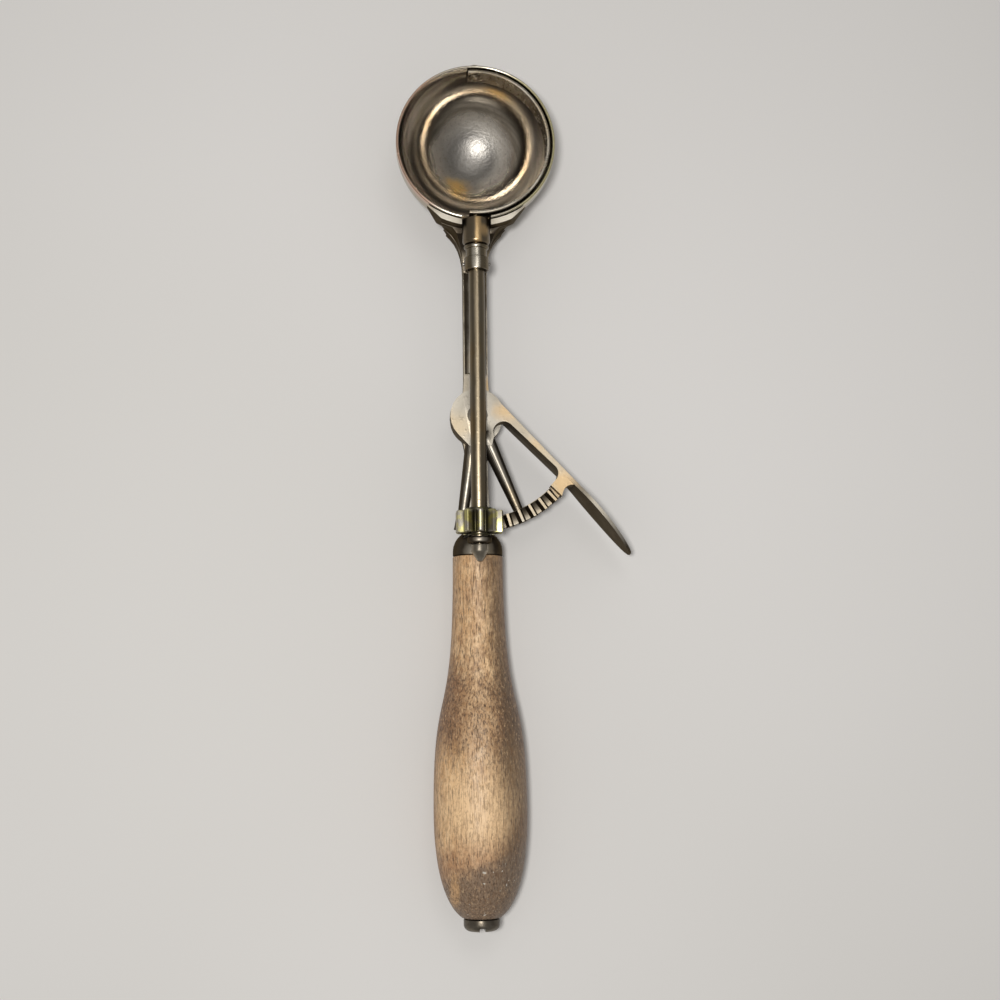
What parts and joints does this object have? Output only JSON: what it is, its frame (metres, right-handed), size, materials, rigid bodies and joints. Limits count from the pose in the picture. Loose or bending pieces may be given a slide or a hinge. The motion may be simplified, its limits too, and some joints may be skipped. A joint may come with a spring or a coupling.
{
  "type": "ice cream scoop",
  "caption": "Lever ice cream scoop: a thumb lever's toothed sector turns a pinion and spindle that sweep a scraper blade round a hemispherical bowl on a turned wooden grip.",
  "frame": {"origin": "bottom centre of the bounding box of the scoop lying with its bowl mouth up", "axes": "+Y along the spindle from the grip to the bowl, +Z out of the bowl's mouth, +X to the side of the thumb lever"},
  "size_m": [0.074, 0.2724, 0.033],
  "materials": {
    "nickel_plate": "worn nickel plate over brass",
    "brass": "bare worn brass",
    "steel": "plain drawn steel",
    "wood": "worn, stained, open grain"
  },
  "bodies": {
    "frame": {"frame_casting": "nickel_plate", "bowl": "nickel_plate", "blade_rivet": "nickel_plate", "bearing_sleeve": "nickel_plate", "thrust_washer": "brass", "lever_pivot_screw": "nickel_plate", "lever_spring": "steel", "wood_handle": "wood", "tie_rod": "steel", "end_nut": "nickel_plate"},
    "lever": {"thumb_lever": "nickel_plate"},
    "spindle_line": {"spindle": "nickel_plate", "scraper_blade": "nickel_plate", "thrust_collar": "nickel_plate", "collar_pin": "steel", "pinion": "brass", "pinion_pin": "steel", "tip_nut": "nickel_plate"}
  },
  "joints": [
    {"name": "lever_squeeze", "type": "hinge", "parent": "frame", "child": "lever", "pos_m": [-0.01175, 0.02286, 0.0183], "axis": [0, 0, -1], "range_deg": [0, 32.72], "stiffness_Nm_per_rad": 0.35, "springref_deg": -28.65},
    {"name": "spindle_turn", "type": "hinge", "parent": "frame", "child": "spindle_line", "pos_m": [-0.01175, 0, 0.0255], "axis": [0, 1, 0], "range_deg": [0, 180]}
  ],
  "couplings": [
    {"joint": "spindle_turn", "follows": "lever_squeeze", "ratio": 5.5}
  ]
}
